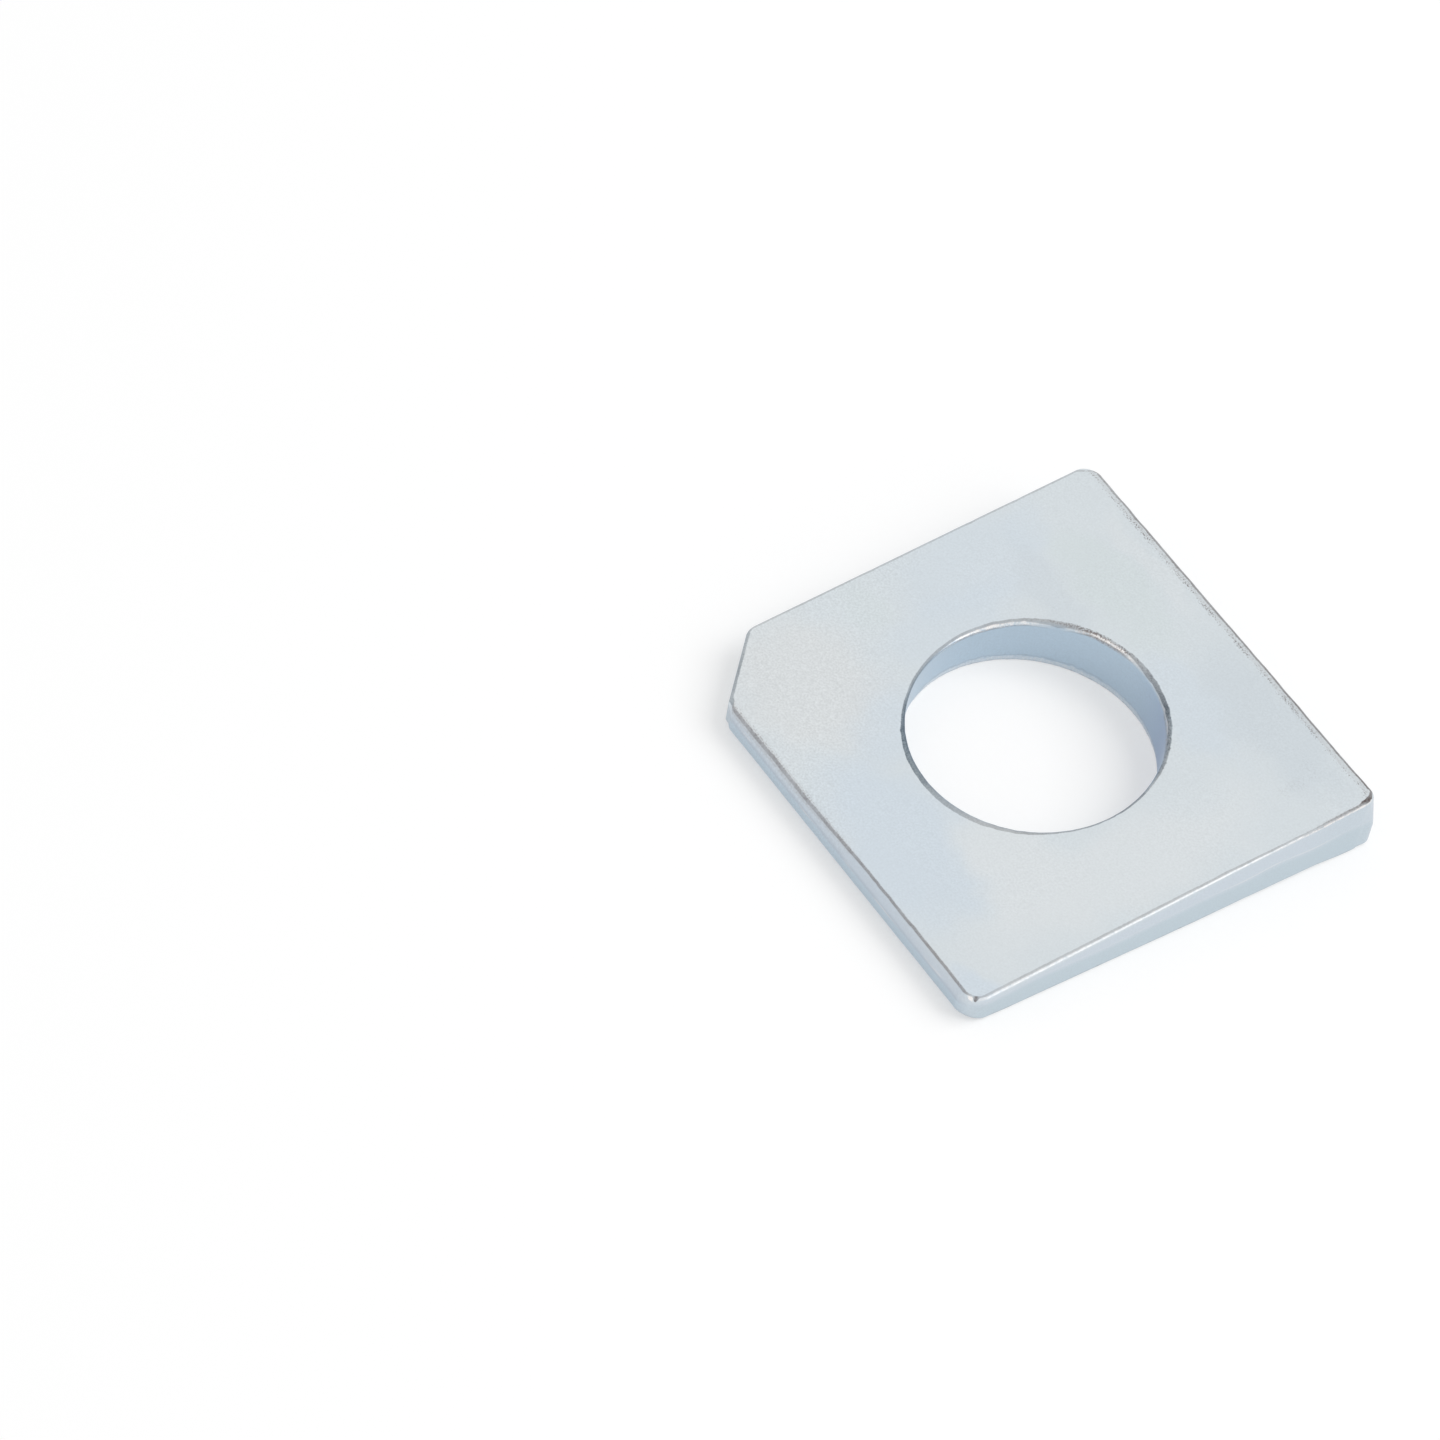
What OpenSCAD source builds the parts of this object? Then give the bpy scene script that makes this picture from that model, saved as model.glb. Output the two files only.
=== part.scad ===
// Square taper washer for M22 (7/8 in) bolts: one solid, zinc plated steel.
// It is cropped from a rolled taper bar, punched through the middle, and has one corner clipped.
// The lower face is flat on z = 0. The upper face climbs towards +Y at the taper angle.
// The bar runs along X: the thin edge at -Y and the thick edge at +Y are as rolled, and the ends at
// -X and +X are cropped.
// The clipped corner is at -X and -Y, at one end of the thin edge.

/* [Plan] */
// Side of the square
side = 44.45; // [40:0.05:52]
// Length that the clipped corner takes off each of its two sides
clip_leg = 6.5; // [4:0.1:9]
// Radius of the upright corners
corner_r = 2.1; // [1.2:0.1:3]

/* [Taper] */
// Thickness halfway between the thin and the thick edge
mean_t = 4.76; // [4.4:0.02:6.4]
// Angle of the upper face to the lower face, in degrees
taper = 5; // [3:0.25:6]

/* [Hole] */
// Diameter of the punched land that the bolt passes through
hole_d = 23.3; // [18:0.1:27]
// Radius of the mouth, rolled in by the punch
mouth_r = 0.9; // [0.6:0.05:1.3]
// How far up the wall the rough break at the foot of the hole reaches
break_h = 0.9; // [0.4:0.1:1.2]
// How much the break is wider than the land at the lower face, on each side
break_out = 0.2; // [0.1:0.05:0.4]

/* [Edges] */
// Radius of the rolled edge along the top of the thin side
thin_top_r = 0.9; // [0.5:0.05:1]
// Radius of the rolled edge along the top of the thick side
thick_top_r = 1.3; // [0.6:0.05:1.6]
// Radius of the two rolled edges against the lower face
rolled_foot_r = 1.2; // [0.6:0.05:1.3]
// Radius of the cropped edges against the lower face
cropped_foot_r = 0.8; // [0.5:0.05:1.2]
// Radius of the cropped edges round the upper face, which the press only dulls
cropped_top_r = 0.95; // [0.6:0.05:1.3]

/* [Hidden] */
$fn = 96;
half = side / 2;
rise = half * tan(taper);
thin_t = mean_t - rise;
thick_t = mean_t + rise;
hole_r = hole_d / 2;
// Angle at which a well rounded edge meets its two faces, and the same for a dulled edge
round_lean = 8;
dull_lean = 30;
// Corners of the outline, each with the directions that its two sides face
CORNERS = [
    [[half, -half], -90, 0],
    [[half, half], 0, 90],
    [[-half, half], 90, 180],
    [[-half, -half + clip_leg], 180, 225],
    [[-half + clip_leg, -half], 225, 270],
];
// Length that clears the washer on every side
clear = 2 * side;

function facing(angle) = [cos(angle), sin(angle)];

// Centre of the arc that rounds the corner between two sides, which it meets at the angle lean
function arc_centre(corner, side_a, side_b, r, lean) =
    corner - r * cos(lean) * (facing(side_a) + facing(side_b)) / (1 + cos(side_a - side_b));

// What rounding takes off the corner between two sides
module round_off(corner, side_a, side_b, r, lean) {
    centre = arc_centre(corner, side_a, side_b, r, lean);
    to_a = 2 * r * facing(side_a);
    to_b = 2 * r * facing(side_b);
    difference() {
        polygon([centre, centre + to_a, centre + to_a + to_b, centre + to_b]);
        translate(centre) circle(r = r);
    }
}

// Section of the rolled bar, thin edge on the left
module bar_section() {
    difference() {
        polygon([[-half, 0], [half, 0], [half, thick_t], [-half, thin_t]]);
        round_off([-half, 0], 180, 270, rolled_foot_r, round_lean);
        round_off([half, 0], -90, 0, rolled_foot_r, round_lean);
        round_off([half, thick_t], 0, 90 + taper, thick_top_r, round_lean);
        round_off([-half, thin_t], 90 + taper, 180, thin_top_r, round_lean);
    }
}

// Everything beyond the clipped corner's edge
module clip_off() {
    far = 2 * clip_leg;
    out = -half - clip_leg;
    polygon([[out, -half + far], [out, out], [-half + far, out]]);
}

// Cropped length of bar, clipped and with its upright corners rounded
module blank() {
    difference() {
        rotate([90, 0, 90]) linear_extrude(height = side, center = true) bar_section();
        linear_extrude(height = clear, center = true) {
            clip_off();
            for (c = CORNERS) round_off(c[0], c[1], c[2], corner_r, round_lean);
        }
    }
}

// Rounding for a straight edge on z = 0, whose side faces this way at this distance from the middle
module along_edge(way, distance, r, lean) {
    rotate([90, 0, way])
        linear_extrude(height = clear, center = true) round_off([distance, 0], 0, 90, r, lean);
}

// Rounding for the edge round a corner of the outline, on z = 0
module round_corner(c, r, lean) {
    rotate([0, 0, c[1]])
        rotate_extrude(angle = c[2] - c[1]) round_off([corner_r, 0], 0, 90, r, lean);
}

// Rounding for the cropped ends, the clip and the corners, with the face that they bound on z = 0.
// A sloping face is longer than the outline by the factor stretch, in Y.
module cropped_edges(r, lean, stretch) {
    clip_way = [1, 1 / stretch];
    along_edge(0, half, r, lean);
    along_edge(180, half, r, lean);
    along_edge(180 + atan2(clip_way[1], clip_way[0]), (side - clip_leg) / norm(clip_way), r, lean);
    for (c = CORNERS) {
        centre = arc_centre(c[0], c[1], c[2], corner_r, round_lean);
        translate([centre[0], centre[1] * stretch, 0]) round_corner(c, r, lean);
    }
}

// Punched hole: the land, then the break at its foot
module hole() {
    cylinder(r = hole_r, h = clear, center = true);
    cylinder(r1 = hole_r + break_out, r2 = hole_r, h = break_h);
}

module washer() {
    color("lightsteelblue") difference() {
        blank();
        hole();
        mirror([0, 0, 1]) cropped_edges(cropped_foot_r, round_lean, 1);
        translate([0, 0, mean_t]) rotate([taper, 0, 0]) {
            cropped_edges(cropped_top_r, dull_lean, 1 / cos(taper));
            rotate_extrude() round_off([hole_r, 0], 180, 90, mouth_r, dull_lean);
        }
    }
}

washer();
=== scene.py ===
"""Square taper washer and its studio stage, laid out as a Blender add-on.

Lengths are in metres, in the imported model's frame. The lower face lies on z = 0, the bolt hole's
axis is Z, the bar was rolled along X, and the sloping face climbs from the thin edge at -Y to the
thick edge at +Y. The clipped corner is at -X and -Y.
"""
import math
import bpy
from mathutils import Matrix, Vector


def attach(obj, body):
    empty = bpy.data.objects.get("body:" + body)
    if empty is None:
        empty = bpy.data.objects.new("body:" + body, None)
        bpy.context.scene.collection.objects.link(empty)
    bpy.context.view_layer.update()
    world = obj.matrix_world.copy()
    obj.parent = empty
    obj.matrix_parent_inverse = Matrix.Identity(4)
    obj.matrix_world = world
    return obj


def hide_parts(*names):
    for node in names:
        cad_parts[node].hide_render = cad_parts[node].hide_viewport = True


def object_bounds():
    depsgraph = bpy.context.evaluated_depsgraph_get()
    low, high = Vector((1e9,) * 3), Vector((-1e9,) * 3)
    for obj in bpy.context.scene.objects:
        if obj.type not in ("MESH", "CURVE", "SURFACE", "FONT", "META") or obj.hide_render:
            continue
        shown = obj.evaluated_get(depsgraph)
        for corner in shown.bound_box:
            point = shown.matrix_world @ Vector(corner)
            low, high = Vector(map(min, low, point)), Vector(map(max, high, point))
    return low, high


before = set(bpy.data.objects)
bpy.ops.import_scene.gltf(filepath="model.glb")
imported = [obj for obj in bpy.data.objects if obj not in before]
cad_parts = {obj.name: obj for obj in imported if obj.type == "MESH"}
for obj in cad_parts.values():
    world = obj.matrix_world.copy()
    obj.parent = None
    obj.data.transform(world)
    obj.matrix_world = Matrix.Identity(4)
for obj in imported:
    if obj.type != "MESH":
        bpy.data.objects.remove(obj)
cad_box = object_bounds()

from types import SimpleNamespace

import bpy
import numpy as np
from bpy.props import FloatProperty, FloatVectorProperty, IntProperty, PointerProperty
from mathutils import Euler, Matrix, Vector

bl_info = {
    "name": "Square taper washer",
    "version": (1, 0, 0),
    "blender": (4, 5, 0),
    "location": "3D View > Sidebar > Taper washer",
    "description": "Builds a zinc plated square taper washer and the pale floor it lies on",
    "category": "Add Mesh",
}

MM = 0.001
NODE = "washer"
BODY = "root"

# Directions that the sides of the outline face, in degrees: thin edge, cropped end, thick edge,
# cropped end, clipped corner, and the thin edge once more
FACING = (-90, 0, 90, 180, 225, 270)

# Insets of an outline that keeps to the plain sides, two a corner
FLUSH = np.zeros((len(FACING) - 1, 2))

# Numbers of rings across each stretch of the skin
ROUNDING_RINGS = 11
SIDE_RINGS = 14
LOWER_RINGS = 5
BREAK_RINGS = 6
LAND_RINGS = 8
MOUTH_RINGS = 10
UPPER_RINGS = 6

# A distance from an edge at which no line is drawn
FAR = 9 * MM


def length(name, description, millimetres):
    """A length that the user may change, given in millimetres and kept in metres."""
    return FloatProperty(
        name=name, description=description, default=millimetres * MM, min=0.0,
        precision=6, unit="LENGTH", subtype="DISTANCE",
    )


def share(name, description, value):
    """A number from 0 to 1 that the user may change."""
    return FloatProperty(
        name=name, description=description, default=value, min=0.0, max=1.0, subtype="FACTOR",
    )


def power(name, description, watts):
    """A lamp's power that the user may change."""
    return FloatProperty(name=name, description=description, default=watts, min=0.0, unit="POWER")


def angle(name, description, degrees):
    """An angle that the user may change, given in degrees."""
    return FloatProperty(
        name=name, description=description, default=math.radians(degrees), subtype="ANGLE",
        unit="ROTATION",
    )


def tint(name, description, value):
    """A colour that the user may change, in linear light."""
    return FloatVectorProperty(
        name=name, description=description, default=value, min=0.0, max=1.0, size=3,
        subtype="COLOR",
    )


class WasherForm(bpy.types.PropertyGroup):
    """Sizes of the washer."""

    side: length("Side", "Side of the square", (cad_box[1].x - cad_box[0].x) / MM)
    clip_leg: length("Clipped corner", "Length that the clip takes off each of its sides", 6.5)
    corner_r: length("Corner radius", "Radius of the upright corners", 2.0)
    face_corner_r: length("Face corner radius", "Radius of the sloping face's corners", 1.1)
    mean_t: length("Mean thickness", "Thickness halfway up the slope", 4.76)
    taper: angle("Taper", "Angle of the sloping face to the lower face", 5)
    hole_r: length("Hole radius", "Radius of the punched land", 11.55)
    hole_x: length("Hole off centre, X", "How far the punch stood off the middle along X", 0.06)
    hole_y: length("Hole off centre, Y", "How far the punch stood off the middle along Y", 0.1)
    mouth_r: length("Mouth radius", "Radius rolled into the mouth by the punch", 0.33)
    break_h: length("Break height", "Height of the rough break at the foot of the hole", 0.9)
    break_out: length("Break flare", "How much the break widens towards the lower face", 0.2)
    thin_top_r: length("Thin edge, top", "Rolled radius along the top of the thin edge", 0.82)
    thick_top_r: length("Thick edge, top", "Rolled radius on top of the thick edge at +X", 1.55)
    thick_fade: length("Thick edge fade", "How much smaller that radius is at -X", 0.22)
    end_top_r: length("Ends, top", "Radius of the ends against the sloping face", 0.26)
    end_swell: length("End swell", "Extra top radius where the +X end meets the thin edge", 0.28)
    rolled_foot_r: length("Rolled foot", "Radius of the rolled edges at the lower face", 1.02)
    end_foot_r: length("Cropped foot", "Radius of the cropped ends at the lower face", 0.22)
    shear_h: length("Shear height", "Height where the ends turn from cut to break", 2.75)
    shear_lean: length("Shear lean", "How far the ends' break leans in at the lower face", 0.03)
    crown: length("Edge crown", "How much the rolled edges bulge at mid height", 0.05)
    spread: length("Foot spread", "How far the thick +X corner spreads out towards its foot", 0.55)
    worn: length("Worn corner", "How far the corner between clip and thin edge is worn in", 0.18)
    columns: IntProperty(
        name="Columns", description="Mesh columns round the washer", default=1200, min=64,
    )


class PlateFinish(bpy.types.PropertyGroup):
    """Colours and wear of the zinc plate, and the painted light and shade on it."""

    plate: tint("Plate", "Plate of the sloping face", (0.666, 0.716, 0.745))
    film: tint("Blue film", "Patches where the passive film is bluest", (0.622, 0.696, 0.765))
    pale: tint("Pale patches", "Patches where the film is thin", (0.701, 0.738, 0.758))
    straw: tint("Straw patches", "Patches of warmer film", (0.692, 0.714, 0.722))
    moss: tint("Green patches", "Patches of greener film", (0.648, 0.708, 0.724))
    dull: tint("Dull patches", "Patches of darker plate", (0.617, 0.672, 0.712))
    # Side plate: bluer film, and darker than the face as painted shade
    wall: tint("Side plate", "Plate on the outer sides", (0.611, 0.673, 0.733))
    shear: tint("Break plate", "Plate on the break of the cropped ends", (0.545, 0.628, 0.683))
    # Hole plate: bluer film, and darker than the face as painted shade in the hole
    bore: tint("Hole plate", "Plate on the wall of the hole", (0.476, 0.585, 0.685))
    # Painted shade: bluer, darker plate on one side of the hole
    deep: tint("Deep hole plate", "Bluer plate on one side of the hole", (0.310, 0.415, 0.580))
    # Painted shade: darker, bluer plate low on the thin edge
    thin_side_shade: tint("Thin side plate", "Plate low on the thin edge", (0.548, 0.651, 0.735))
    # Painted shade: darker, bluer plate on the thin edge's round
    thin_round_shade: tint("Thin side shade", "Darker film on the thin edge's round", (0.40, 0.46, 0.54))
    # Dark colour of real dirt, flecks and scuffs, used also for painted dark reflection in the
    # edge lines and painted contact shade at the foot
    soil_and_shade: tint("Edge soil", "Dark warm soil in the line inside the edges", (0.10, 0.069, 0.061))
    # Painted shade: bluish dark in the lines along the clip and the hole's mouth
    blue_shade: tint("Blue soil", "Bluer soil on the clip and in the hole's mouth", (0.05, 0.085, 0.12))
    smear: tint("Edge smear", "Paler speckled soil beside the line", (0.37, 0.335, 0.32))
    # Burnish colour: real burnish on the ends' lip and the hole's torn break, and painted
    # highlight on the rounded edges, the corner glint and the thin edge's streaks
    bright: tint("Burnish", "Plate burnished bright on the rounded edges", (0.90, 0.88, 0.865))
    gloss: share("Roughness", "Roughness of the plate", 0.34)
    metal: share("Metal", "How metallic the plate is", 0.95)


class StudioStage(bpy.types.PropertyGroup):
    """Floor, lamps and camera."""

    floor: tint("Floor", "Floor and background", (1.0, 1.0, 1.0))
    shade: share("Shadow share", "Share of the floor's brightness that shadow can take", 0.6)
    lift: share("Floor lift", "Brightness that makes up for the light that the floor loses", 0.03)
    sky: share("Sky", "Even light from all round", 0.6)
    key_power: power("Key lamp", "Power of the soft lamp at the back right", 49.0)
    strip_power: power("Strip lamp", "Power of the lamp that the cropped end's edge shows", 0.14)
    place: FloatVectorProperty(
        name="Camera place", description="Where the camera stands", size=3,
        default=(0.30395, -0.31471, 0.50207), subtype="TRANSLATION", unit="LENGTH",
    )
    turn: FloatVectorProperty(
        name="Camera turn", description="How the camera is turned", size=3,
        default=[math.radians(a) for a in (40.280, -7.470, 56.314)], subtype="EULER",
    )
    lens: FloatProperty(
        name="Lens", description="Focal length on a 36 mm sensor", default=187.0, unit="CAMERA",
    )


def ripple(turns, seed, low, high):
    """A closed wave of mean 0 and spread 1 round a loop whose places turns go from 0 to 1.

    It is the sum of cosines that have from low to high whole waves round the loop, each with a
    seeded phase and a height that falls with the root of its number of waves.
    """
    waves = np.arange(low, high + 1)
    phase = np.random.default_rng(seed).uniform(0, 2 * np.pi, waves.size)
    wave = np.cos(2 * np.pi * np.outer(turns, waves) + phase) @ (waves ** -0.5)
    return wave / wave.std()


def nicks(turns, seed, number, width, depth):
    """Depths of small dents at seeded places round a loop.

    Each dent is a bell curve of about the given width, in turns, and no deeper than depth.
    """
    draw = np.random.default_rng(seed)
    place = draw.uniform(0, 1, number)
    wide = width * draw.uniform(0.5, 1.6, number)
    deep = depth * draw.uniform(0.2, 1.0, number) ** 2
    apart = np.abs(turns[:, None] - place)
    apart = np.minimum(apart, 1 - apart)
    return np.exp(-((apart / wide) ** 2)) @ deep


def discs(form, insets, radius):
    """Centres of discs, one a corner of the clipped square, set in from both sides of the corner.

    Each row of insets holds a corner's distances from the side before it and the side after it.
    A disc's centre stands its radius further in from both, so it lies inside the corner by the
    step whose parts along the two sides' directions are those two distances.
    """
    half, leg = form.side / 2, form.clip_leg
    corners = np.array([
        (half, -half), (half, half), (-half, half), (-half, leg - half), (leg - half, -half),
    ])
    way = np.radians(FACING)
    way = np.stack([np.cos(way), np.sin(way)], 1)
    pairs = np.stack([way[:-1], way[1:]], 1)
    return corners - np.linalg.solve(pairs, insets[..., None] + radius)[..., 0]


def at_stops(stop, values):
    """Straight-line steps round the loop between values at the stops, two a corner."""
    values = np.append(values, values[0])
    return np.interp(stop, np.arange(values.size), values)


def walk(form, count):
    """How far round each column stands, counted in stops, and the direction that it faces.

    The stops are the two ends of each corner's arc. Columns are spread by the length run, which
    counts the corners as if their radius were larger, so that they get more columns.
    """
    facing = np.radians(np.repeat(FACING, 2)[1:])
    centre = np.repeat(discs(form, FLUSH, form.corner_r), 2, axis=0)
    centre = np.vstack([centre, centre[:1]])
    counted_r = form.corner_r + 2.5 * MM
    run = np.hypot(*np.diff(centre, axis=0).T) + counted_r * np.diff(facing)
    run = np.append(0, np.cumsum(run))
    stops = np.arange(run.size)
    stop = np.interp(np.arange(count) / count * run[-1], run, stops)
    return stop, np.degrees(np.interp(stop, stops, facing))


def outline(form, stop, faced, insets, radius):
    """Points of the clipped square with each side set in and each corner rounded, and normals.

    A disc runs round inside the outline and turns on the spot at each corner. The point is the
    disc's centre plus its radius in the direction faced.
    """
    centre = np.repeat(discs(form, insets, radius), 2, axis=0)
    centre = np.stack([at_stops(stop, centre[:, 0]), at_stops(stop, centre[:, 1])], 1)
    normal = np.stack([np.cos(np.radians(faced)), np.sin(np.radians(faced))], 1)
    return centre + radius * normal, normal


def rounding(radius, slope, level, steps):
    """An arc between an upright wall and a face that climbs by slope away from it.

    The wall stands at inset 0, where the face would reach level. The arc's centre lies one radius
    inside both, and steps from 0 to 1 sweep it from the face to the wall.
    Returns the inset, the height and the length run from the face.
    """
    flush = np.arctan2(1.0, -slope)
    swept = flush + (np.pi - flush) * steps[:, None]
    middle = level + radius * (slope - np.hypot(1.0, slope))
    return radius * (1 + np.cos(swept)), middle + radius * np.sin(swept), radius * (swept - flush)


def between(first, last, count):
    """Rings spaced evenly between two rings, neither of which is among them."""
    part = (np.arange(1, count + 1) / (count + 1)).reshape(-1, *[1] * first.ndim)
    return first + part * (last - first)


def pull_in(form, faced, cropped, height, top_z, shear_z):
    """How far each point of the side is pulled in from the plain outline.

    The rolled edges bulge at mid height, so they are pulled in with the square of the distance
    from there. The break of the cropped ends leans in towards the lower face, and is upright
    again over its lowest quarter. The corner between clip and thin edge is worn in, and the thick
    +X corner spreads out towards its foot.
    """
    from_middle = np.clip(2 * height / top_z - 1, -1, 1)
    steepness = 1.3
    lean = np.minimum(np.clip(1 - height / shear_z, 0, 1) * steepness, 1)
    spread_top, spread_deep = 5.6 * MM, 3 * MM
    low = np.clip((spread_top - height) / spread_deep, 0, 1)
    across = np.radians(np.clip(faced, 0, 90))
    # Halfway between the directions of the clip and the thin edge
    worn_at = (FACING[4] + FACING[5]) / 2
    return (
        form.crown * (1 - cropped) * from_middle ** 2 + form.shear_lean * cropped * lean
        + form.worn * bell(faced, worn_at, 16) - form.spread * low * np.sin(2 * across) ** 4
    )


def outer_rings(form, stop, faced, point, normal):
    """Rings from the sloping face over the top rounding, down the side and under the foot.

    The top rounding runs from the face's outline, which has its own set-back from each side and
    its own corners, to the wall's outline. It is an arc flush with the sloping face and the
    wall. The wall is pulled in as pull_in says, and ends in an arc at the foot.
    Returns the rings, and for each point its run from the face's edge, its share of side wall,
    its share of cropped end and its height over the border between cut and break.
    """
    count = len(stop)
    turns = np.arange(count) / count
    tan = math.tan(form.taper)
    slope = -normal[:, 1] * tan

    def per_side(thin, end, thick):
        return np.interp(faced, FACING, (thin, end, thick, end, end, thin))

    cropped = per_side(0, 1, 0)
    # Top radii of the two sides of each corner, and how far in they reach on the face, which is
    # further on the side that the face climbs towards
    thin, end, thick = form.thin_top_r, form.end_top_r, form.thick_top_r
    top = np.array([
        (thin, end + form.end_swell), (end, thick), (thick - form.thick_fade, end), (end, end),
        (end, thin),
    ])
    climb = np.sin(np.radians(FACING)) * math.sin(form.taper)
    set_back = top * (1 + np.stack([climb[:-1], climb[1:]], 1))
    plain_r = at_stops(stop, top.ravel())
    top_r = plain_r * (1 + 0.016 * ripple(turns, seed=3, low=5, high=90))
    top_r = top_r + nicks(turns, seed=4, number=40, width=0.0016, depth=0.05 * MM)
    # The foot is rubbed rounder in places, and is tighter at the thick +X corner
    y = point[:, 1] / MM
    rubbed = along(y, (-22, 1.2), (-18, 0), (3, 0), (8, 0.9), (12, 1.2), (16, 1.3), (19, 0))
    foot_r = per_side(form.rolled_foot_r, form.end_foot_r, form.rolled_foot_r)
    foot_r = foot_r * (1 + 0.02 * ripple(turns, seed=5, low=4, high=60))
    foot_r = foot_r * (1 + cropped * rubbed) * (1 - 0.3 * bell(faced, 50, 22))
    # The border between cut and break climbs with the thickness
    shear_z = form.shear_h * along(y, (4, 1), (8, 1.08), (12.6, 1.17), (15, 1.23), (18, 1.27))

    steps = np.linspace(0, 1, ROUNDING_RINGS)
    over_in, over_z, over_run = rounding(top_r, slope, 0.0, steps)
    foot_in, foot_z, foot_run = rounding(foot_r, np.zeros(count), 0.0, steps[::-1])
    face_point, _ = outline(form, stop, faced, set_back, form.face_corner_r)
    face_point = face_point - (top_r - plain_r)[:, None] * normal
    part = (1 - over_in / over_in[0])[..., None]
    over_plan = face_point + part * (point - face_point)
    over_z = form.mean_t + over_plan[..., 1] * tan - slope * over_in + over_z
    side_z = between(over_z[-1], -foot_z[0], SIDE_RINGS)
    # Two rings on the face just inside the rounding, and one under the foot
    extra = np.array([0.16, 0.06])[:, None] * MM
    face_plan = face_point - extra[..., None] * normal
    face_z = form.mean_t + face_plan[..., 1] * tan
    under_in = foot_in[-1] + extra[:1]
    wall_in = np.concatenate([0 * side_z, foot_in, under_in])

    plan = np.concatenate([face_plan, over_plan, point - wall_in[..., None] * normal])
    height = np.concatenate([face_z, over_z, side_z, -foot_z, 0 * under_in])
    to_wall = over_run[-1] + over_z[-1]
    to_foot = to_wall + foot_z[0] + foot_run[0]
    edge = np.concatenate([
        -extra + 0 * face_z, over_run, to_wall - side_z, to_foot - foot_run,
        to_foot + under_in - foot_in[-1],
    ])
    pulled = pull_in(form, faced, cropped, height, over_z[0], shear_z)
    plan = plan - pulled[..., None] * normal
    # Rings of the face and the rounding keep to the slope as they are pulled in
    sloping = len(extra) + len(steps)
    height[:sloping] += slope * pulled[:sloping]
    wall = np.concatenate([
        0 * face_z, steps[:, None] ** 2 + 0 * over_in, 1 + 0 * side_z, 1 + 0 * foot_in,
        0 * under_in,
    ])
    over_shear = height - shear_z * (1 + 0.05 * ripple(turns, seed=6, low=2, high=30))
    return np.dstack([plan, height]), edge, wall, cropped * wall, over_shear


def bore_rings(form, turn):
    """Rings from the lower face up the hole's break and land and out over the mouth.

    Each ring is a circle round the punch's upright axis. The break is a cone with a ragged
    surface and a ragged upper end, the land is a plain cylinder, and the mouth is an arc flush
    with the sloping face, rolled wider on one side.
    Returns the rings, and for each point its run from the mouth's edge and its share of wall.
    """
    turns = turn / (2 * np.pi)
    tan = math.tan(form.taper)
    slope = np.sin(turn) * tan
    level = form.mean_t + form.hole_y * tan + form.hole_r * slope
    mouth_r = form.mouth_r * (1 + 0.35 * bell(np.degrees(turn) % 360, 145, 50))
    mouth_r = mouth_r * (1 + 0.04 * ripple(turns, seed=11, low=4, high=70))
    mouth_r = mouth_r + nicks(turns, seed=12, number=24, width=0.003, depth=0.04 * MM)
    steps = np.linspace(1, 0, MOUTH_RINGS)
    over_in, over_z, over_run = rounding(mouth_r, slope, level, steps)
    # Rings on the face close to the mouth
    extra = np.array([0.1, 0.22, 0.4, 0.8])[:, None] * MM
    face_in = over_in[-1] + extra
    face_z = level + slope * face_in

    ragged = form.break_h * (1 + 0.12 * ripple(turns, seed=13, low=3, high=40))
    part = np.linspace(0.08, 1, BREAK_RINGS)[:, None]
    grit = np.stack([ripple(turns, seed=20 + k, low=20, high=140) for k in range(BREAK_RINGS)])
    break_z = ragged * part
    break_in = form.break_out * (1 - part) + 0.007 * MM * grit * (1 - part ** 4)
    land_z = between(break_z[-1], over_z[0], LAND_RINGS)
    # Two rings on the lower face: where the break ends, and a little beyond
    lip_in = break_in[:1] + 0.12 * MM
    under_in = lip_in + 0.15 * MM

    inset = np.concatenate([under_in, lip_in, break_in, 0 * land_z, over_in, face_in])
    height = np.concatenate([0 * under_in, 0 * lip_in, break_z, land_z, over_z, face_z])
    depth = over_run[0] + over_z[0]
    rim = np.concatenate([
        depth + 0 * under_in, depth + 0 * lip_in, depth - break_z, depth - land_z, over_run,
        -extra + 0 * face_in,
    ])
    bore = np.concatenate([
        0 * under_in, 1 + 0 * lip_in, 1 + 0 * break_z, 1 + 0 * land_z,
        steps[:, None] + 0 * over_in, 0 * face_in,
    ])
    radius = form.hole_r + inset
    x, y = form.hole_x + radius * np.cos(turn), form.hole_y + radius * np.sin(turn)
    return np.dstack([x, y, height]), rim, bore


def closed_mesh(name, rings):
    """A mesh from rings of points, joined from ring to ring and back to the first ring.

    Corner (i, j) of the grid is point j of ring i, and both ways round the grid close on
    themselves, so the skin has neither seam nor pole.
    """
    rows, columns = rings.shape[:2]
    row, column = np.meshgrid(np.arange(rows), np.arange(columns), indexing="ij")
    next_row, next_column = (row + 1) % rows, (column + 1) % columns
    corners = ((row, column), (next_row, column), (next_row, next_column), (row, next_column))
    faces = np.stack([r * columns + c for r, c in corners], -1).reshape(-1, 4)
    mesh = bpy.data.meshes.new(name)
    mesh.from_pydata(rings.reshape(-1, 3).tolist(), [], faces.tolist())
    mesh.polygons.foreach_set("use_smooth", np.ones(len(faces), bool))
    mesh.update()
    return mesh


def carry(mesh, name, values):
    """Keeps one number a point on the mesh, for its material to read."""
    layer = mesh.attributes.new(name, "FLOAT", "POINT")
    layer.data.foreach_set("value", np.ascontiguousarray(values, np.float32).ravel())


def bell(value, middle, width):
    """A bell curve of height 1: e to the minus square of the distance from middle, in widths."""
    return np.exp(-(((value - middle) / width) ** 2))


def along(value, *stops):
    """Straight-line steps between stops, each a place and the value there."""
    places, values = zip(*stops)
    return np.interp(value, places, values)


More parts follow.
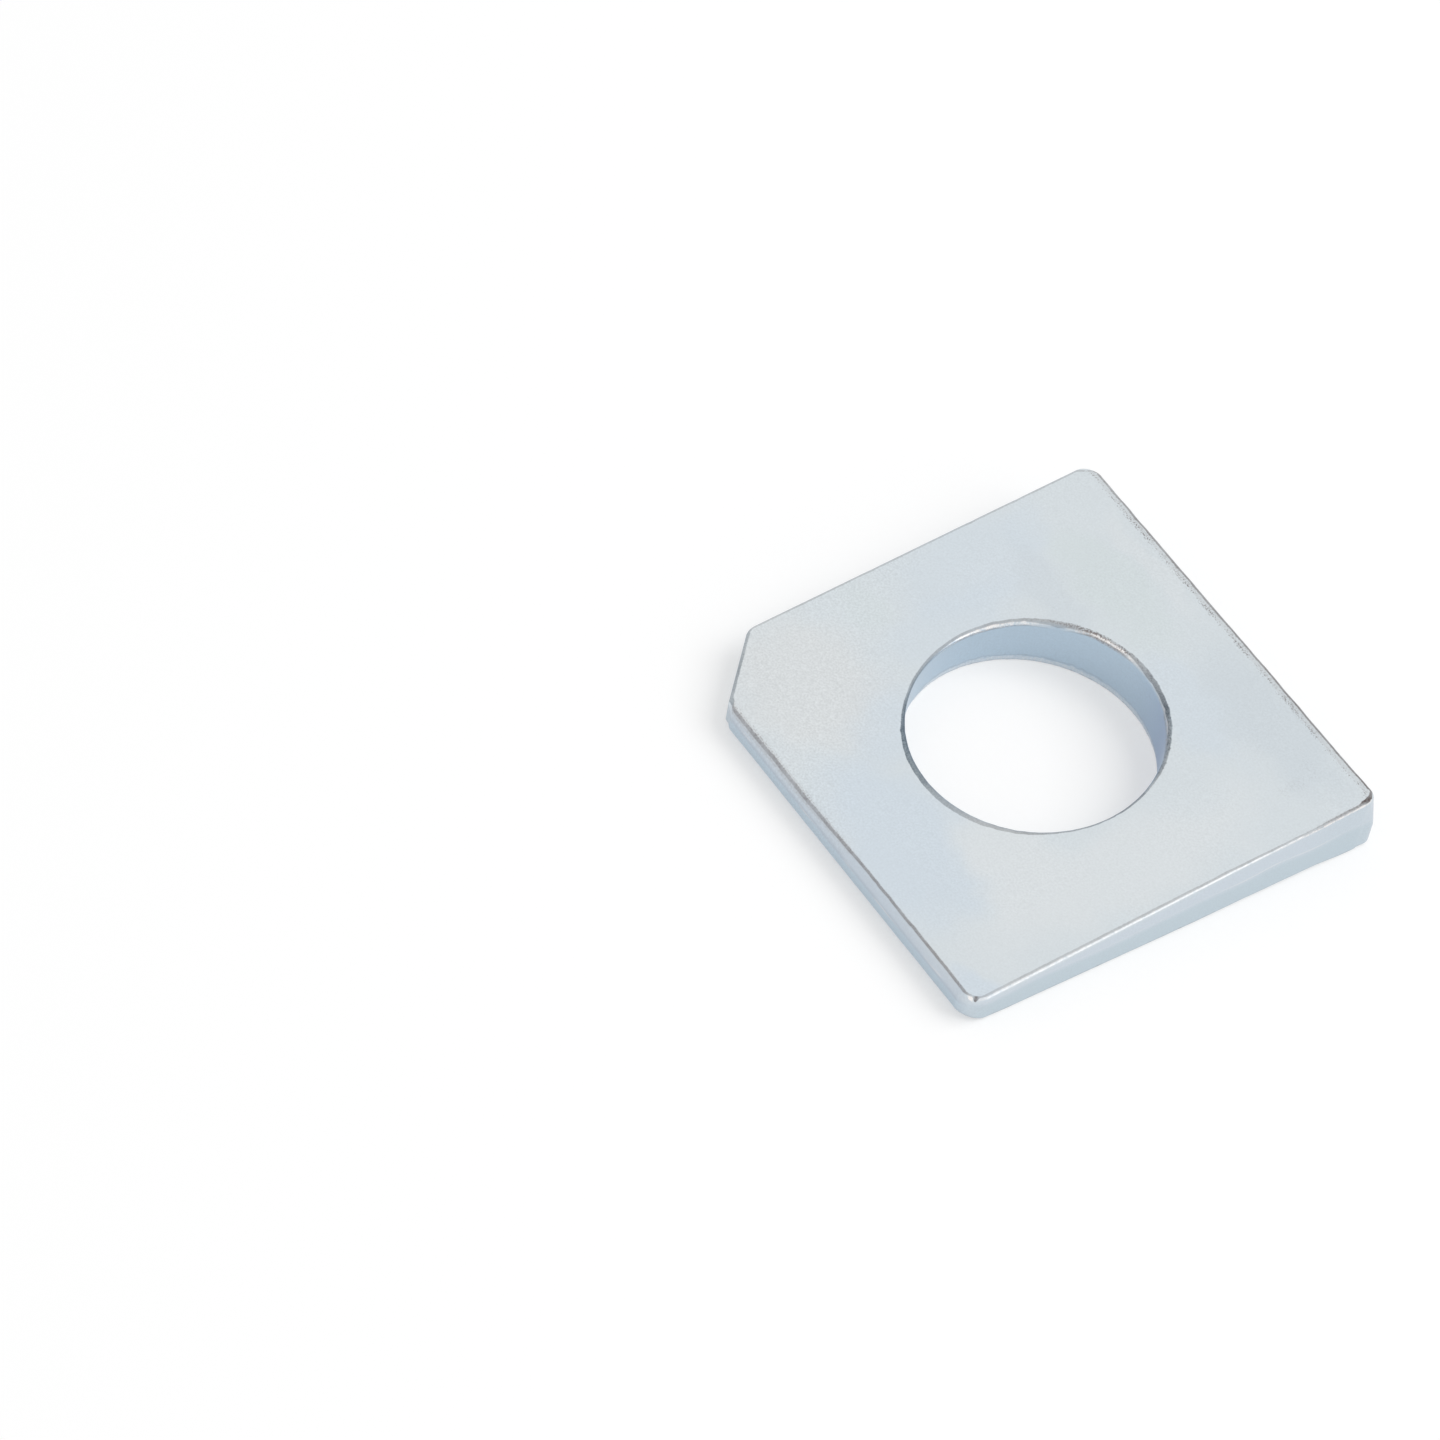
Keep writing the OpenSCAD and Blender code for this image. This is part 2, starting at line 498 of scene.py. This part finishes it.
def edge_wear_and_light(faced, point):
    """Wear and painted light of the top edge by column, in millimetres and shares, by the
    direction faced and x, y.

    line_from and line_width place the dark line, dirt and painted dark reflection, and line_depth
    is its strength, smear_width and smear_depth are those of the paler zone beside it, grit is the
    share of dark specks in that zone, shine_width and painted_highlight are those of the painted
    highlight strip beyond the line, and blue_shade_share is the share of painted blue shade in the
    line's colour. The thin +X corner has a painted glint and a painted dark reflection spot beside
    it, and the thick one a dark patch.
    """
    x, y = point[:, 0] / MM, point[:, 1] / MM
    thin = along(faced, (-90, 1), (-50, 0), (235, 0), (270, 1))
    end = along(faced, (-60, 0), (-30, 1), (20, 1), (45, 0))
    thick = along(faced, (30, 0), (70, 1), (110, 1), (135, 0))
    clip = along(faced, (185, 0), (215, 1), (240, 1), (265, 0))
    left = along(x, (-3, 1), (6, 0))
    tip = end * along(y, (12, 0), (21, 1))
    # A painted glint and a painted dark reflection spot on the thin +X corner, and a dark patch on
    # the thick one
    glint, dark_reflection_spot, patch = bell(faced, -54, 12), bell(faced, -36, 8), bell(faced, 32, 18)
    return {
        "line_from": thin * (0.1 + 0.14 * left) + thick * (0.88 + 0.0055 * x)
                     + end * along(y, (-21, 0.08), (0, 0.02), (9, 0.02), (15, 0.13), (20, 0.01)),
        "line_width": 0.12 + thin * (0.05 + 0.07 * left) + 0.26 * thick + 0.14 * clip + 0.4 * dark_reflection_spot
                      + 0.4 * patch + 0.06 * tip,
        "line_depth": 0.26 + 0.26 * thin * (1 - 0.6 * left) + 0.2 * clip
                      + thick * (0.34 + 0.005 * x) + 0.4 * dark_reflection_spot
                      + 0.5 * patch + 0.22 * tip - 0.1 * glint,
        "smear_width": thin * (0.3 + 0.4 * left) + 1.2 * thick + 0.1 * tip,
        "smear_depth": thin * (0.06 + 0.12 * left) + 0.16 * thick + 0.2 * tip,
        "grit": 0.3 * thin * left + 0.8 * thick + 0.2 * tip,
        "shine_width": end * along(y, (-21, 0.26), (0, 0.18)) + 0.3 * glint,
        # Strength of the painted highlight strip, and of the painted glint
        "painted_highlight": end * along(y, (-21, 0.4), (0, 0.45), (12, 0.5), (15, 0.85), (20, 1.0))
                   + 1.1 * glint - 0.7 * dark_reflection_spot,
        # Share of painted blue shade in the line's colour
        "blue_shade_share": clip,
    }


def rim_wear_and_light(turn):
    """Wear and painted light of the hole's mouth by column, as for the top edge, by the turn round
    the hole.

    Most values are straight-line steps between stops in degrees. Two stretches, one rough and one
    to the right of it, have haze and dark specks as well.
    """
    degrees = np.degrees(turn) % 360
    rough, right = bell(degrees, 112, 24), bell(degrees, 56, 24)

    def round_hole(*stops):
        return along(degrees, *stops)

    return {
        "line_from": round_hole(
            (0, 0.12), (30, 0.03), (45, -0.08), (60, -0.2), (105, -0.26), (120, -0.2),
            (165, -0.03), (180, 0.02), (205, 0.14), (225, 0.1), (240, -0.05), (255, -0.22),
            (285, -0.36), (300, -0.3), (315, -0.15), (335, 0.04), (360, 0.12),
        ),
        "line_width": round_hole(
            (0, 0.2), (45, 0.28), (60, 0.31), (75, 0.36), (88, 0.46), (105, 0.2), (120, 0.22),
            (135, 0.6), (150, 0.25), (180, 0.18), (210, 0.25), (240, 0.4), (262, 0.55),
            (285, 0.48), (315, 0.36), (335, 0.25), (360, 0.2),
        ),
        "line_depth": round_hole(
            (0, 0.5), (30, 0.45), (60, 0.66), (75, 0.66), (90, 0.56), (105, 0.32), (120, 0.17),
            (135, 0.31), (150, 0.4), (180, 0.36), (210, 0.42), (225, 0.55), (242, 0.85),
            (256, 0.72), (270, 0.6), (285, 0.45), (300, 0.4), (315, 0.38), (360, 0.48),
        ),
        "smear_width": 0.46 * rough + 0.46 * right,
        "smear_depth": 0.36 * rough + 0.4 * right,
        "grit": 0.9 * rough + 0.6 * right,
        "shine_width": round_hole(
            (88, 0.2), (100, 0.25), (122, 0.25), (150, 0.34), (165, 0.36), (180, 0.3),
        ),
        # Strength of the painted highlight in the mouth
        "painted_highlight": round_hole(
            (91, 0), (97, 0.2), (105, 1.6), (118, 1.0), (135, 0), (150, 0.65), (165, 0.9),
            (180, 0.75), (197, 0),
        ),
        # Share of painted blue shade in the line's colour
        "blue_shade_share": round_hole(
            (0, 0.35), (25, 0.6), (45, 1), (60, 1), (90, 0.5), (110, 0.2), (180, 0.15),
            (205, 0.4), (235, 1), (262, 1), (300, 0.4), (360, 0.35),
        ),
    }


def crossing(rings):
    """A column of distances from -FAR at the first ring to FAR at the last."""
    return np.linspace(-FAR, FAR, len(rings))[:, None]


def washer_mesh(form):
    """The washer's whole skin: the outer rings, the lower face, the hole and the sloping face.

    The grid's columns run round the washer, from the outline's points to the points of the hole
    that lie in the same direction from its axis. Flat faces are straight between rings.
    """
    stop, faced = walk(form, form.columns)
    point, normal = outline(form, stop, faced, FLUSH, form.corner_r)
    outer, edge, wall, cropped, over_shear = outer_rings(form, stop, faced, point, normal)
    turn = np.unwrap(np.arctan2(point[:, 1], point[:, 0]))
    hole, rim, bore = bore_rings(form, turn)
    lower = between(outer[-1], hole[0], LOWER_RINGS)
    upper = between(hole[-1], outer[0], UPPER_RINGS)
    from_edge = np.linalg.norm(upper - outer[0], axis=2)
    from_rim = np.linalg.norm(upper - hole[-1], axis=2)
    on_outer, on_lower, on_hole, on_upper = (
        0 * part[..., 0] for part in (outer, lower, hole, upper)
    )
    # Each run changes sign on the wall where the material leaves its marks out
    layers = {
        "edge_run": (edge, on_lower + FAR, on_hole - crossing(hole), edge[0] - from_edge),
        "rim_run": (on_outer + crossing(outer), on_lower + FAR, rim, rim[-1] - from_rim),
        "over_shear": (over_shear, on_lower - FAR, on_hole - FAR, on_upper + FAR),
    }
    layers = {name: [part / MM for part in parts] for name, parts in layers.items()}
    layers["side_wall"] = (wall, on_lower, on_hole, on_upper)
    layers["cropped_end"] = (cropped, on_lower, on_hole, on_upper)
    layers["hole_wall"] = (on_outer, on_lower, bore, on_upper)
    thin = along(faced, (-90, 1), (-45, 0), (225, 0), (270, 1))
    layers["thin_edge"] = (on_outer + thin, on_lower, on_hole, on_upper)
    # Where painted shade darkens one side of the hole
    deep = bell(np.degrees(turn) % 360, 54, 24)
    layers["shaded_hole_side"] = (on_outer, on_lower, on_hole + deep, on_upper)
    round_rim = rim_wear_and_light(turn)
    for name, value in edge_wear_and_light(faced, point).items():
        near_rim = round_rim[name]
        across = between(near_rim, value, UPPER_RINGS)
        layers[name] = (on_outer + value, on_lower, on_hole + near_rim, across)
    mesh = closed_mesh("taper_washer", np.concatenate([outer, lower, hole, upper]))
    for name, parts in layers.items():
        carry(mesh, name, np.concatenate(parts))
    return mesh


class Wire:
    """A shader socket that works like a number: each operator adds a Math node."""

    def __init__(self, finish, socket):
        self.finish = finish
        self.socket = socket

    def __add__(self, other):
        return self.finish.math("ADD", self, other)

    def __sub__(self, other):
        return self.finish.math("SUBTRACT", self, other)

    def __rsub__(self, other):
        return self.finish.math("SUBTRACT", other, self)

    def __mul__(self, other):
        return self.finish.math("MULTIPLY", self, other)

    def __truediv__(self, other):
        return self.finish.math("DIVIDE", self, other)

    __radd__ = __add__
    __rmul__ = __mul__


class Finish:
    """A node material that is written as expressions."""

    def __init__(self, tree):
        self.tree = tree
        self.tree.nodes.clear()

    def node(self, kind, settings=None, sockets=None, output=0):
        """Adds a node, sets it, fills its sockets with values or links, and returns an output."""
        made = self.tree.nodes.new(kind)
        for key, value in (settings or {}).items():
            setattr(made, key, value)
        for key, value in (sockets or {}).items():
            if isinstance(value, Wire):
                self.tree.links.new(made.inputs[key], value.socket)
            else:
                made.inputs[key].default_value = value
        return Wire(self, made.outputs[output]) if made.outputs else made

    def math(self, operation, first, second):
        """A Math node on two values."""
        return self.node("ShaderNodeMath", {"operation": operation}, {0: first, 1: second})

    def root(self, value):
        """The square root."""
        return self.math("SQRT", value, 0.0)

    def scaled(self, factor, colour_in):
        """A colour made lighter or darker by a factor."""
        grey = self.node("ShaderNodeCombineColor", {}, {0: factor, 1: factor, 2: factor})
        settings = {"data_type": "RGBA", "blend_type": "MULTIPLY"}
        return self.node("ShaderNodeMix", settings, {0: 1.0, 6: colour_in, 7: grey}, 2)

    def ramp(self, value, low, high):
        """0 below low, 1 above high, and smooth between them."""
        sockets = {"Value": value, "From Min": low, "From Max": high}
        return self.node("ShaderNodeMapRange", {"interpolation_type": "SMOOTHSTEP"}, sockets)

    def bar(self, run, low, high, soft):
        """1 where run is between low and high, with soft ends."""
        return self.ramp(run - low, -soft, 0.0) * (1 - self.ramp(run - high, 0.0, soft))

    def blend(self, part, first, second):
        """The first colour where part is 0 and the second where it is 1."""
        sockets = {0: part, 6: first, 7: second}
        settings = {"data_type": "RGBA", "clamp_factor": True}
        return self.node("ShaderNodeMix", settings, sockets, 2)

    def carried(self, name):
        """A number that the mesh carries."""
        return self.node("ShaderNodeAttribute", {"attribute_name": name}, {}, "Fac")

    def place(self, shift=(0, 0, 0), stretch=(1, 1, 1)):
        """Object coordinates, moved and stretched."""
        where = self.node("ShaderNodeTexCoord", {}, {}, "Object")
        sockets = {"Vector": where, "Location": shift, "Scale": stretch}
        return self.node("ShaderNodeMapping", {}, sockets)

    def speckle(self, millimetres, shift=0.0, detail=2.0, stretch=(1, 1, 1)):
        """Noise about 0, from about -0.5 to 0.5, with spots of about the given size."""
        where = self.place((shift, shift / 2, 0), stretch)
        sockets = {"Vector": where, "Scale": 1 / (millimetres * MM), "Detail": detail}
        return self.node("ShaderNodeTexNoise", {}, sockets) - 0.5


def colour(value):
    """A colour that lets nothing through."""
    return (*value, 1.0)


# Soft patches on the sloping face: tint, x, y, reach along X and along Y in millimetres, and
# how strong the patch is
PATCHES = (
    ("film", -17.5, 5.0, 6.0, 7.0, 0.4),
    ("film", -18.5, 12.0, 3.5, 3.0, 0.3),
    ("film", 5.5, 13.5, 7.5, 3.5, 0.45),
    ("film", -13.0, 0.5, 3.5, 7.0, 0.35),
    ("film", -7.0, -11.0, 5.0, 4.5, 0.5),
    ("film", 4.5, -17.5, 10.0, 6.0, 0.72),
    ("film", 20.0, -20.0, 2.0, 1.8, 0.7),
    ("moss", -9.5, 15.0, 8.0, 3.2, 0.8),
    ("moss", -18.5, -5.5, 3.0, 2.5, 0.5),
    ("pale", -9.5, 19.5, 7.0, 1.2, 0.5),
    ("pale", 17.0, -3.0, 4.5, 15.0, 0.85),
    ("pale", 13.5, -10.0, 6.0, 4.5, 0.9),
    ("pale", 8.5, -9.5, 5.5, 4.0, 0.9),
    ("straw", -14.5, -15.5, 8.0, 7.0, 0.75),
    ("dull", 10.0, 18.2, 10.5, 2.8, 0.8),
    ("dull", -12.5, 9.5, 6.0, 2.2, 0.6),
)

# Scuffed places on the sloping face: x, y and reach along X and Y in millimetres
SCUFFS = (
    (17.4, 15.8, 0.8, 2.2),
    (15.5, 18.2, 2.2, 0.7),
)


def ellipse(zinc, x, y, at_x, at_y, reach_x, reach_y):
    """1 inside an ellipse, fading to 0 across its border."""
    far_x, far_y = (x - at_x) / reach_x, (y - at_y) / reach_y
    full, gone = 0.55, 1.3
    return 1 - zinc.ramp(zinc.root(far_x * far_x + far_y * far_y), full, gone)


def face_tone(zinc, look, x, y):
    """The plate's colour on the sloping face: tinted patches in ellipses that slow noise bends."""
    bend = 7
    x, y = x + bend * zinc.speckle(6, shift=3.1), y + bend * zinc.speckle(6, shift=5.7)
    tone = colour(look.plate)
    for tint_name, *shape, strength in PATCHES:
        inside = strength * ellipse(zinc, x, y, *shape)
        tone = zinc.blend(inside, tone, colour(getattr(look, tint_name)))
    return zinc.scaled(1 + 0.03 * zinc.speckle(9, shift=1.3), tone)


def plate_grain(zinc):
    """Noises of four sizes, in millimetres, that break up the plate's tints and marks."""
    return SimpleNamespace(
        rag=zinc.speckle(0.6, shift=0.11),
        dust=zinc.speckle(0.16, shift=0.23, detail=1.0),
        cluster=zinc.speckle(2.2, shift=0.37),
        fine=zinc.speckle(0.2, shift=0.5, detail=1.0),
    )


def side_tone(zinc, look, y, height, grain):
    """The plate's colour on the outer sides.

    The cropped ends have a cut above and a darker break below, with a brighter lip between them
    and dirt with painted contact shade at the foot. The cut darkens towards the thick edge, and
    the lip shows best short of it. The thin edge has painted shade, darker and bluer towards its
    foot, and painted highlight streaks on its round.
    """
    cropped, thin = zinc.carried("cropped_end"), zinc.carried("thin_edge")
    edge_run, over_shear = zinc.carried("edge_run"), zinc.carried("over_shear")
    cut = zinc.ramp(over_shear, -0.7, 0.1) * (1 - 0.35 * zinc.ramp(y, 13, 19))
    side = zinc.blend(cropped * (1 - cut), colour(look.wall), colour(look.shear))
    # Painted shade low on the thin edge
    side = zinc.blend(0.9 * thin * zinc.ramp(edge_run, 1.0, 1.7), side, colour(look.thin_side_shade))
    lip = cropped * zinc.bar(over_shear, 0.0, 0.04, 0.12) * (0.3 + zinc.bar(y, 8, 15, 4))
    side = zinc.blend(0.22 * lip * (1 + 1.5 * grain.cluster), side, colour(look.bright))
    # Dirt and painted contact shade at the foot of the cropped ends
    foot = cropped * (1 - zinc.ramp(height + 0.5 * grain.rag, 0.05, 0.3))
    side = zinc.blend(0.24 * foot, side, colour(look.soil_and_shade))
    # Painted highlight streaks on the thin edge's round
    streaks = zinc.ramp(zinc.speckle(0.45, shift=0.8, stretch=(0.14, 1, 1)), 0.05, 0.2)
    streaks = 0.7 * thin * streaks * zinc.bar(edge_run, 1.05, 1.4, 0.15)
    return zinc.blend(streaks, side, colour(look.bright))


def hole_tone(zinc, look, height, grain):
    """The plate's colour in the hole, darker than on the face partly as painted shade: bluer and
    darker still on one side as painted shade, and bright and torn on the break.

    The height that the break reaches is made ragged by noise, and a faint line runs along it.
    """
    over_foot = height + 0.6 * grain.rag
    torn = 1 - zinc.ramp(over_foot, 0.6, 0.95)
    # Painted shade on one side of the hole's wall
    inside = zinc.blend(zinc.carried("shaded_hole_side"), colour(look.bore), colour(look.deep))
    inside = zinc.blend(0.3 * torn * (1 + 3 * grain.dust), inside, colour(look.bright))
    return zinc.blend(0.12 * zinc.bar(over_foot, 0.9, 1.0, 0.08), inside, colour(look.soil_and_shade))


def edge_marks(zinc, wall, bore, grain):
    """Strengths of the marks along the face's outer edge and along the hole's mouth.

    A dark line starts at line_from, partly dirt and partly painted dark reflection, with paler
    haze and dark flecks on its side towards the face, a painted highlight beyond it and, in the
    mouth, a thin dark hem of painted dark reflection beyond the highlight. Each is a soft bar on
    the run from the edge, which noise makes ragged, times its carried strength. It is drawn once
    on each of the two runs, and left out on the wall that the run doesn't belong to.
    Runs and widths are in millimetres.
    """
    start, width, depth = (zinc.carried(n) for n in ("line_from", "line_width", "line_depth"))
    smear_width, smear_depth = zinc.carried("smear_width"), zinc.carried("smear_depth")
    # glow is the strength of the painted highlight
    grit, glow, glow_width = (zinc.carried(n) for n in ("grit", "painted_highlight", "shine_width"))
    edge_run, rim_run = zinc.carried("edge_run"), zinc.carried("rim_run")
    rag, dust, cluster = grain.rag, grain.dust, grain.cluster
    ragged = (0.4 + 0.6 * grit) * (0.16 * rag + 0.12 * dust)

    def bars(run, shown):
        away = run + ragged
        return (
            shown * zinc.bar(away, start, start + width, 0.09),
            shown * zinc.bar(away, 0.33 * start, smear_width, 0.12),
            shown * zinc.bar(away - 0.28 * start, -0.16, 0.14, 0.12),
            shown * zinc.bar(away - start - width, 0.04, glow_width, 0.1),
        )

    both = zip(bars(edge_run, 1 - bore), bars(rim_run, 1 - wall))
    line, smear, border, shine = (outer + inner for outer, inner in both)
    speck = zinc.ramp(dust + 0.4 * rag, -0.12, 0.12)
    chip = zinc.ramp(dust + 0.5 * cluster, 0.06, 0.15)
    # Painted dark reflection beyond the mouth's painted highlight
    hem = (1 - wall) * glow * zinc.bar(rim_run - start - width - glow_width, 0.02, 0.1, 0.08)
    return SimpleNamespace(
        line=line * depth * (1 + 0.9 * cluster + 0.6 * dust),
        haze=smear * smear_depth * (0.7 + 0.6 * speck),
        fleck=(0.3 * smear + 0.5 * border) * chip * grit,
        shine=shine * glow * zinc.ramp(rag + 0.7 * dust, -0.3, 0.15),
        hem=0.3 * hem * (1 + 1.5 * cluster),
    )


def zinc_plate(look):
    """Satin zinc plate: a mottled passive film, lines of dirt and painted dark reflection inside
    the edges, painted highlights and shade, and fine grain.
    """
    material = bpy.data.materials.new("zinc_plate")
    material.use_nodes = True
    zinc = Finish(material.node_tree)
    wall, bore, thin = (zinc.carried(n) for n in ("side_wall", "hole_wall", "thin_edge"))
    spot = zinc.place()
    x, y, height = (
        zinc.node("ShaderNodeSeparateXYZ", {}, {0: spot}, axis) / MM for axis in "XYZ"
    )
    grain = plate_grain(zinc)
    tone = zinc.blend(wall, face_tone(zinc, look, x, y), side_tone(zinc, look, y, height, grain))
    # Painted shade on the thin edge's round
    shade = zinc.bar(zinc.carried("edge_run"), 0.4, 1.3, 0.3)
    tone = zinc.blend(0.4 * thin * shade, tone, colour(look.thin_round_shade))
    tone = zinc.blend(bore, tone, hole_tone(zinc, look, height, grain))

    marks = edge_marks(zinc, wall, bore, grain)
    scuffed = sum(ellipse(zinc, x, y, *shape) for shape in SCUFFS)
    pits = zinc.speckle(0.22, shift=0.6, detail=1.0) + 0.3 * grain.cluster
    scuff = 0.07 * scuffed * zinc.ramp(pits, 0.06, 0.16)
    # Colour of the edge lines: dirt and painted dark reflection, bluer where painted shade is
    soil_and_shade = zinc.blend(zinc.carried("blue_shade_share"), colour(look.soil_and_shade), colour(look.blue_shade))
    tone = zinc.blend(marks.haze, tone, colour(look.smear))
    # Painted highlight along the edges and the mouth
    tone = zinc.blend(marks.shine, tone, colour(look.bright))
    tone = zinc.blend(marks.fleck + scuff, tone, colour(look.soil_and_shade))
    # Dark lines along the edges and the mouth: dirt and painted dark reflection
    tone = zinc.blend(marks.line + marks.hem, tone, soil_and_shade)

    # The grain is stronger in slow patches and towards the clipped corner
    strength = 0.13 + 0.08 * zinc.ramp(zinc.speckle(8, shift=0.9), -0.12, 0.14)
    strength = strength + 0.17 * zinc.ramp(x + y, -15, -25)
    tone = zinc.scaled(1 + strength * grain.fine, tone)
    rough = look.gloss + 0.12 * grain.fine + 0.2 * marks.line - 0.1 * marks.shine
    bumps = {"Strength": 0.35, "Distance": 0.02 * MM, "Height": zinc.speckle(0.25, shift=0.9)}
    normal = zinc.node("ShaderNodeBump", {}, bumps, "Normal")
    skin = zinc.node("ShaderNodeBsdfPrincipled", {}, {
        "Base Color": tone, "Metallic": look.metal, "Roughness": rough, "Normal": normal,
    })
    zinc.node("ShaderNodeOutputMaterial", {}, {"Surface": skin})
    return material


def seen(finish):
    """1 for the rays that show the background: those of the camera, of gloss and of glass."""
    names = ("Is Camera Ray", "Is Glossy Ray", "Is Transmission Ray")
    rays = [finish.node("ShaderNodeLightPath", {}, {}, name) for name in names]
    return finish.math("MINIMUM", rays[0] + rays[1] + rays[2], 1.0)


def pale_floor(look):
    """A white floor that shadow darkens in part, and that camera and gloss see as white."""
    material = bpy.data.materials.new("pale_floor")
    material.use_nodes = True
    paper = Finish(material.node_tree)
    lit = [c * look.shade for c in look.floor]
    matt = paper.node("ShaderNodeBsdfDiffuse", {}, {"Color": colour(lit)})
    shine = paper.node("ShaderNodeEmission", {}, {
        "Color": colour(look.floor), "Strength": (1 - look.shade + look.lift) * seen(paper),
    })
    both = paper.node("ShaderNodeAddShader", {}, {0: matt, 1: shine})
    paper.node("ShaderNodeOutputMaterial", {}, {"Surface": both})
    return material


def white_world(look):
    """A white background, and an even sky that lights the object."""
    world = bpy.context.scene.world or bpy.data.worlds.new("studio")
    bpy.context.scene.world = world
    world.use_nodes = True
    sky = Finish(world.node_tree)
    level = look.sky + (1 - look.sky) * seen(sky)
    light = sky.node("ShaderNodeBackground", {}, {"Color": colour(look.floor), "Strength": level})
    sky.node("ShaderNodeOutputWorld", {}, {"Surface": light})


def lamp(name, watts, azimuth, elevation, distance, size, in_gloss):
    """A square soft lamp that faces the washer from a direction given in degrees."""
    light = bpy.data.lights.new(name, "AREA")
    light.energy, light.size = watts, size
    lit = bpy.data.objects.new(name, light)
    bpy.context.scene.collection.objects.link(lit)
    flat, up = math.radians(azimuth), math.radians(elevation)
    out = Vector((math.cos(up) * math.cos(flat), math.cos(up) * math.sin(flat), math.sin(up)))
    turned = out.to_track_quat("Z", "Y").to_matrix().to_4x4()
    lit.matrix_world = Matrix.Translation(out * distance) @ turned
    lit.visible_glossy = in_gloss


class WASHER_OT_build(bpy.types.Operator):
    """Build the square taper washer in place of its CAD solid"""

    bl_idname = "taper_washer.build"
    bl_label = "Build washer"

    def execute(self, context):
        scene = context.scene
        mesh = washer_mesh(scene.washer_form)
        mesh.materials.append(zinc_plate(scene.plate_finish))
        washer = bpy.data.objects.new("taper_washer", mesh)
        scene.collection.objects.link(washer)
        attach(washer, BODY)
        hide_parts(NODE)
        return {"FINISHED"}


class WASHER_OT_stage(bpy.types.Operator):
    """Set out the floor, the lamps, the background and the camera"""

    bl_idname = "taper_washer.stage"
    bl_label = "Set stage"

    def execute(self, context):
        scene, look = context.scene, context.scene.studio_stage
        reach, gap = 30.0, 0.02 * MM
        plan = ((-reach, -reach), (reach, -reach), (reach, reach), (-reach, reach))
        mesh = bpy.data.meshes.new("floor")
        mesh.from_pydata([(x, y, -gap) for x, y in plan], [], [(0, 1, 2, 3)])
        mesh.materials.append(pale_floor(look))
        floor = bpy.data.objects.new("floor", mesh)
        scene.collection.objects.link(floor)
        white_world(look)
        lamp(
            "key_lamp", look.key_power, azimuth=60, elevation=50, distance=3.0, size=2.4,
            in_gloss=False,
        )
        lamp(
            "strip_lamp", look.strip_power, azimuth=30, elevation=27, distance=0.6, size=0.25,
            in_gloss=True,
        )
        lens = bpy.data.cameras.new("camera")
        lens.sensor_width, lens.lens = 36.0, look.lens
        lens.clip_start, lens.clip_end = 0.01, 100.0
        camera = bpy.data.objects.new("camera", lens)
        scene.collection.objects.link(camera)
        turned = Euler(look.turn).to_matrix().to_4x4()
        camera.matrix_world = Matrix.Translation(look.place) @ turned
        scene.camera = camera
        scene.view_settings.view_transform = "Standard"
        return {"FINISHED"}


class WASHER_PT_panel(bpy.types.Panel):
    """Sizes, finish and stage of the washer"""

    bl_label = "Taper washer"
    bl_idname = "WASHER_PT_panel"
    bl_space_type = "VIEW_3D"
    bl_region_type = "UI"
    bl_category = "Taper washer"

    def draw(self, context):
        parts = (
            (WASHER_OT_build, ("washer_form", "plate_finish")),
            (WASHER_OT_stage, ("studio_stage",)),
        )
        for operator, groups in parts:
            box = self.layout.box()
            for group in groups:
                settings = getattr(context.scene, group)
                for name in settings.__annotations__:
                    box.prop(settings, name)
            box.operator(operator.bl_idname)


CLASSES = (
    WasherForm, PlateFinish, StudioStage, WASHER_OT_build, WASHER_OT_stage, WASHER_PT_panel,
)
GROUPS = {"washer_form": WasherForm, "plate_finish": PlateFinish, "studio_stage": StudioStage}


def register():
    for cls in CLASSES:
        bpy.utils.register_class(cls)
    for name, group in GROUPS.items():
        setattr(bpy.types.Scene, name, PointerProperty(type=group))


def unregister():
    for name in GROUPS:
        delattr(bpy.types.Scene, name)
    for cls in reversed(CLASSES):
        bpy.utils.unregister_class(cls)


def main():
    register()
    bpy.ops.taper_washer.build()
    bpy.ops.taper_washer.stage()


if __name__ == "__main__":
    main()
